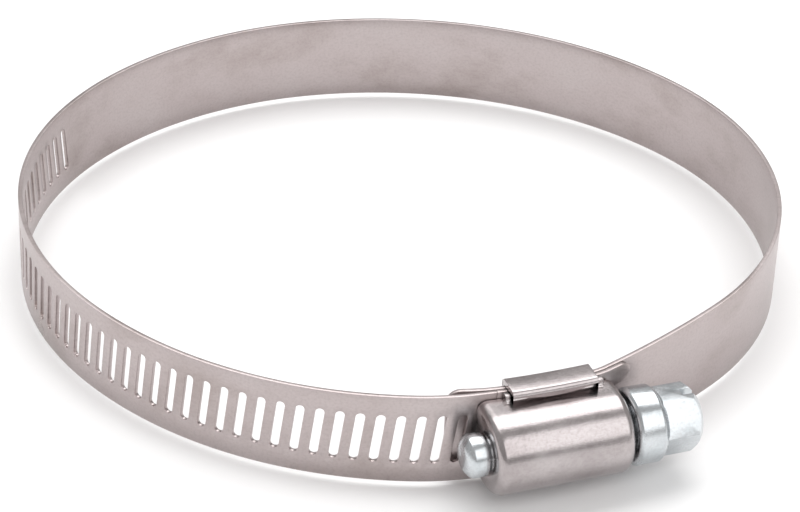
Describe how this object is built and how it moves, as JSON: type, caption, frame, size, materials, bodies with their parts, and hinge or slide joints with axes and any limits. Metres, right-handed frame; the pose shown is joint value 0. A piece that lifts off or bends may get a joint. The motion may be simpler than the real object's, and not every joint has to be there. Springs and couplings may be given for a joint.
{
  "type": "worm-drive hose clamp",
  "caption": "Worm-drive hose clamp: a slotted stainless strip loop with a screw housing, a saddle strap and a hex-head screw that tightens the loop.",
  "frame": {"origin": "centre of the hose seat, at mid width of the band", "axes": "+Z along the hose, -Y towards the screw housing, +X along the screw towards its hex head"},
  "size_m": [0.1048, 0.1109, 0.0144],
  "materials": {
    "band_steel": "satin mill finish with faint stains",
    "housing_steel": "pressed, satin",
    "saddle_steel": "pressed, satin",
    "screw_zinc": "bright zinc plate"
  },
  "bodies": {
    "frame": {"band_head": "band_steel", "housing": "housing_steel", "saddle": "saddle_steel"},
    "slotted_half": {"band_tail": "band_steel"},
    "worm": {"screw": "screw_zinc"}
  },
  "joints": [
    {"name": "screw_turn", "type": "hinge", "parent": "frame", "child": "worm", "pos_m": [0.0029, -0.05509, 0], "axis": [-1, 0, 0], "range_deg": [0, 360]},
    {"name": "band_flex", "type": "hinge", "parent": "frame", "child": "slotted_half", "pos_m": [0.0029, 0.04997, 0], "axis": [0, 0, 1], "range_deg": [-0.01, 1.45]}
  ],
  "couplings": [
    {"joint": "band_flex", "follows": "screw_turn", "ratio": 0.0039769}
  ]
}
